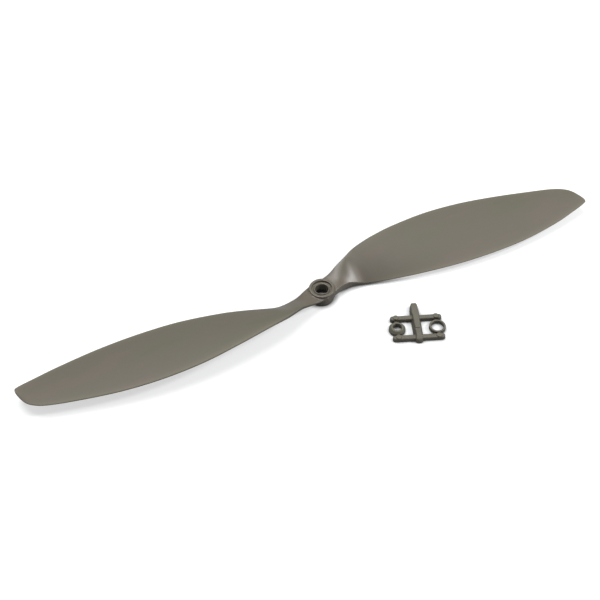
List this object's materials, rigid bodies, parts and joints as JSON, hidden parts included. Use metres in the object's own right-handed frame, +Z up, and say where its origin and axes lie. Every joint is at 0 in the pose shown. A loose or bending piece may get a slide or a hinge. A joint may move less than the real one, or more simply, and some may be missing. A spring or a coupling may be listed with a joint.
{
  "type": "propeller with shaft adapter rings",
  "caption": "Broad two-blade slow-flight propeller for a model aircraft, lying flat, with its shaft adapter rings still on their moulded frame.",
  "frame": {"origin": "centre of the whole object's footprint, on the surface it lies on; the propeller's bore axis is at X = 0, Y = 16.6 mm", "axes": "+X along the right blade from the bore axis to its tip, +Y across the blade to its leading edge, +Z up along the bore axis, out of the hub's front face"},
  "size_m": [0.3048, 0.0699, 0.0128],
  "materials": {
    "propeller_nylon": "satin moulded, warm grey",
    "ring_nylon": "satin moulded, olive grey"
  },
  "bodies": {
    "ring_frame": {"ring_frame_front_bar": "ring_nylon", "ring_frame_back_bar": "ring_nylon", "ring_frame_centre_bar": "ring_nylon"},
    "propeller": {"hub": "propeller_nylon", "blade_right": "propeller_nylon", "blade_left": "propeller_nylon"},
    "adapter_ring_stepped": {"adapter_ring_stepped": "ring_nylon"},
    "adapter_ring_thin": {"adapter_ring_thin": "ring_nylon"}
  },
  "joints": [
    {"name": "propeller_spin", "type": "hinge", "parent": "ring_frame", "child": "propeller", "pos_m": [0, 0.0166, 0], "axis": [0, 0, 1], "range_deg": [-20, 85]},
    {"name": "adapter_ring_stepped_lift", "type": "slide", "parent": "ring_frame", "child": "adapter_ring_stepped", "axis": [0, 0, 1], "range_m": [0, 0.012]},
    {"name": "adapter_ring_thin_lift", "type": "slide", "parent": "ring_frame", "child": "adapter_ring_thin", "axis": [0, 0, 1], "range_m": [0, 0.012]}
  ]
}
